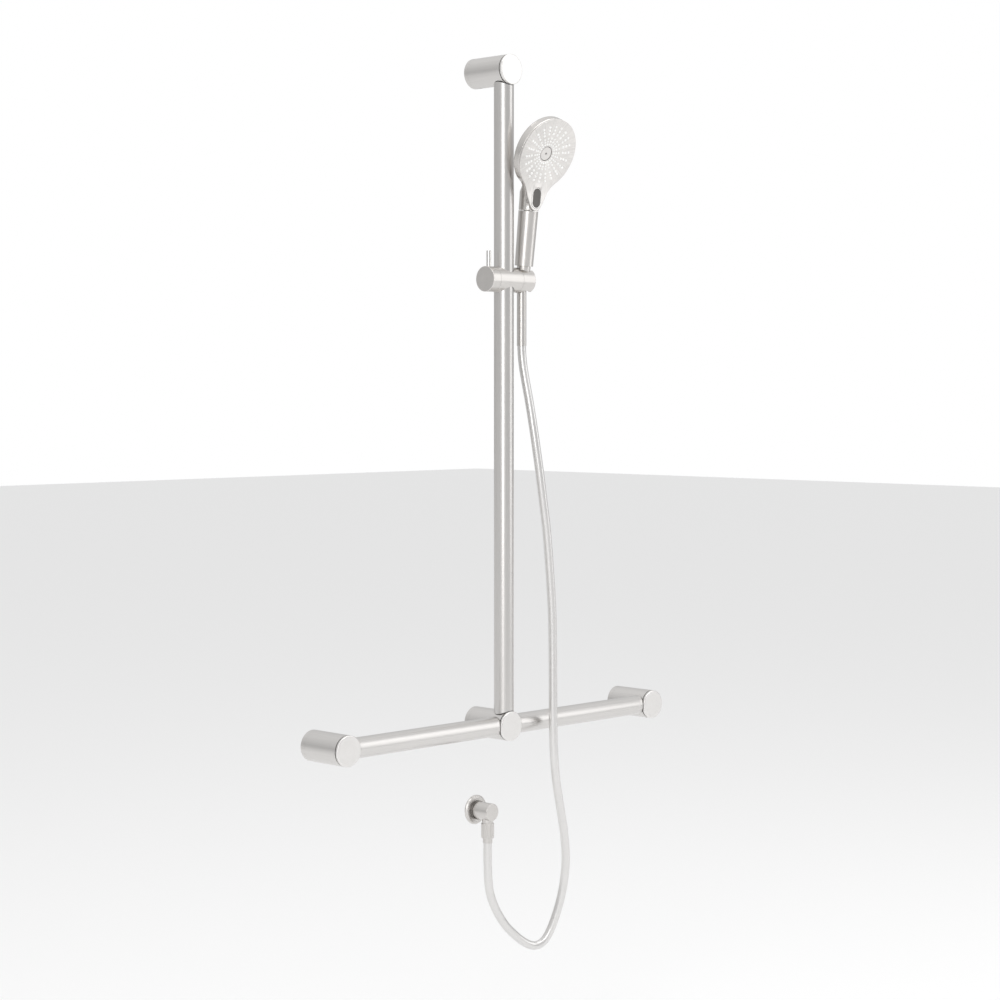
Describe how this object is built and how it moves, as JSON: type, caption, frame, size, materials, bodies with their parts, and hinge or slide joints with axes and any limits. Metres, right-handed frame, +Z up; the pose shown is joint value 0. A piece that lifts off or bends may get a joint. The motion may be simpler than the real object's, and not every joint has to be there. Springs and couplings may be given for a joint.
{
  "type": "shower set on an inverted T grab rail",
  "caption": "Handheld shower head in a clamping slider on an inverted T grab rail, with its hose and wall elbow, in brushed nickel.",
  "frame": {"origin": "on the wall face, on the axis of the centre post at the foot of the upright rail", "axes": "+X along the bar, to the right as seen from the room; +Y into the wall; +Z up"},
  "size_m": [0.7482, 0.1488, 1.462],
  "materials": {
    "satin_steel": "satin stainless steel, brushed along each tube",
    "cap_steel": "fine satin, turned face with a bright rounded edge",
    "hidden_steel": "plain, out of sight",
    "satin_nickel": "brushed nickel plate over brass or ABS",
    "raw_brass": "as machined",
    "white_plastic": "moulded acetal",
    "spray_face": "metallised ABS with a radial brushed look",
    "nozzle_rubber": "white silicone",
    "black_rubber": "matt black",
    "button_grey": "dark grey, fine texture",
    "silver_hose": "smooth silver PVC"
  },
  "bodies": {
    "wall_set": {"vertical_rail": "satin_steel", "left_rail": "satin_steel", "right_rail": "satin_steel", "top_post": "satin_steel", "left_post": "satin_steel", "right_post": "satin_steel", "centre_post": "satin_steel", "top_cap": "cap_steel", "left_cap": "cap_steel", "right_cap": "cap_steel", "centre_cap": "cap_steel", "top_bracket": "satin_steel", "left_bracket": "satin_steel", "right_bracket": "satin_steel", "centre_bracket": "satin_steel", "rail_spigots": "hidden_steel", "spigot_screws": "hidden_steel", "grub_screws": "hidden_steel", "elbow_flange": "satin_nickel", "elbow_collar": "black_rubber", "elbow_body": "satin_nickel", "valve_seat": "white_plastic", "valve_spring": "hidden_steel", "bottom_ferrule": "satin_nickel", "elbow_washer": "black_rubber", "hose": "silver_hose"},
    "slider_bush": {"rail_bush": "white_plastic"},
    "slider_body": {"slider_block": "satin_nickel", "pivot_bolt": "hidden_steel", "friction_washer": "white_plastic"},
    "clamp": {"clamp_knob": "satin_nickel", "lever_pin": "satin_nickel", "clamp_screw": "hidden_steel"},
    "brake": {"brake_pad": "white_plastic"},
    "holder": {"holder": "satin_nickel"},
    "hose_tail": {"hose_sleeve": "satin_nickel", "top_ferrule": "raw_brass"},
    "handset": {"cone_nut": "satin_nickel", "filter_washer": "black_rubber", "inlet_nipple": "raw_brass", "handle_shell": "satin_nickel", "inner_tube": "white_plastic", "head_shell": "satin_nickel", "face_plate": "satin_nickel", "spray_plate": "spray_face", "nozzle_mat": "nozzle_rubber", "centre_nozzle": "spray_face", "water_distributor": "white_plastic", "face_seal": "black_rubber", "button_bezel": "satin_nickel", "button_spring": "hidden_steel"},
    "spray_button": {"button": "button_grey"},
    "diverter": {"diverter_rotor": "white_plastic"},
    "hose_nut": {"elbow_nut": "satin_nickel"},
    "check_valve": {"valve_poppet": "white_plastic"}
  },
  "joints": [
    {"name": "slider_height", "type": "slide", "parent": "wall_set", "child": "slider_bush", "axis": [0, 0, 1], "range_m": [-0.4875, 0.2825], "deforming": ["hose"]},
    {"name": "slider_swivel", "type": "hinge", "parent": "slider_bush", "child": "slider_body", "pos_m": [0, -0.066, 0.7175], "axis": [0, 0, -1], "range_deg": [-60, 75]},
    {"name": "clamp_turn", "type": "hinge", "parent": "slider_body", "child": "clamp", "pos_m": [-0.0345, -0.066, 0.7175], "axis": [1, 0, 0], "range_deg": [0, 90]},
    {"name": "brake_slide", "type": "slide", "parent": "slider_body", "child": "brake", "axis": [-1, 0, 0], "range_m": [0, 0.0005]},
    {"name": "holder_tilt", "type": "hinge", "parent": "slider_body", "child": "holder", "pos_m": [0.041, -0.066, 0.7175], "axis": [1, 0, 0], "range_deg": [-2, 30]},
    {"name": "handset_lift", "type": "slide", "parent": "holder", "child": "hose_tail", "axis": [0, -0.1132, 0.9936], "range_m": [0, 0.02]},
    {"name": "handset_turn", "type": "hinge", "parent": "hose_tail", "child": "handset", "pos_m": [0.041, -0.066, 0.69725], "axis": [0, -0.1132, 0.9936], "range_deg": [-5, 80]},
    {"name": "button_press", "type": "slide", "parent": "handset", "child": "spray_button", "axis": [0, 0.9936, 0.1132], "range_m": [0, 0.0025], "stiffness_N_per_m": 1500, "springref_m": -0.002, "deforming": ["button_spring"]},
    {"name": "diverter_turn", "type": "hinge", "parent": "handset", "child": "diverter", "pos_m": [0.041, -0.12453, 0.91502], "axis": [0, -0.9114, -0.4115], "range_deg": [0, 60]},
    {"name": "hose_nut_turn", "type": "hinge", "parent": "wall_set", "child": "hose_nut", "pos_m": [0, -0.029, -0.17], "axis": [0, 0, 1], "continuous": true},
    {"name": "valve_lift", "type": "slide", "parent": "wall_set", "child": "check_valve", "axis": [0, -1, 0], "range_m": [0, 0.0025], "stiffness_N_per_m": 150, "springref_m": -0.003, "deforming": ["valve_spring"]}
  ],
  "couplings": [
    {"joint": "brake_slide", "follows": "clamp_turn", "m_per_rad": 0.00031831},
    {"joint": "diverter_turn", "follows": "button_press", "rad_per_m": 418.88}
  ]
}
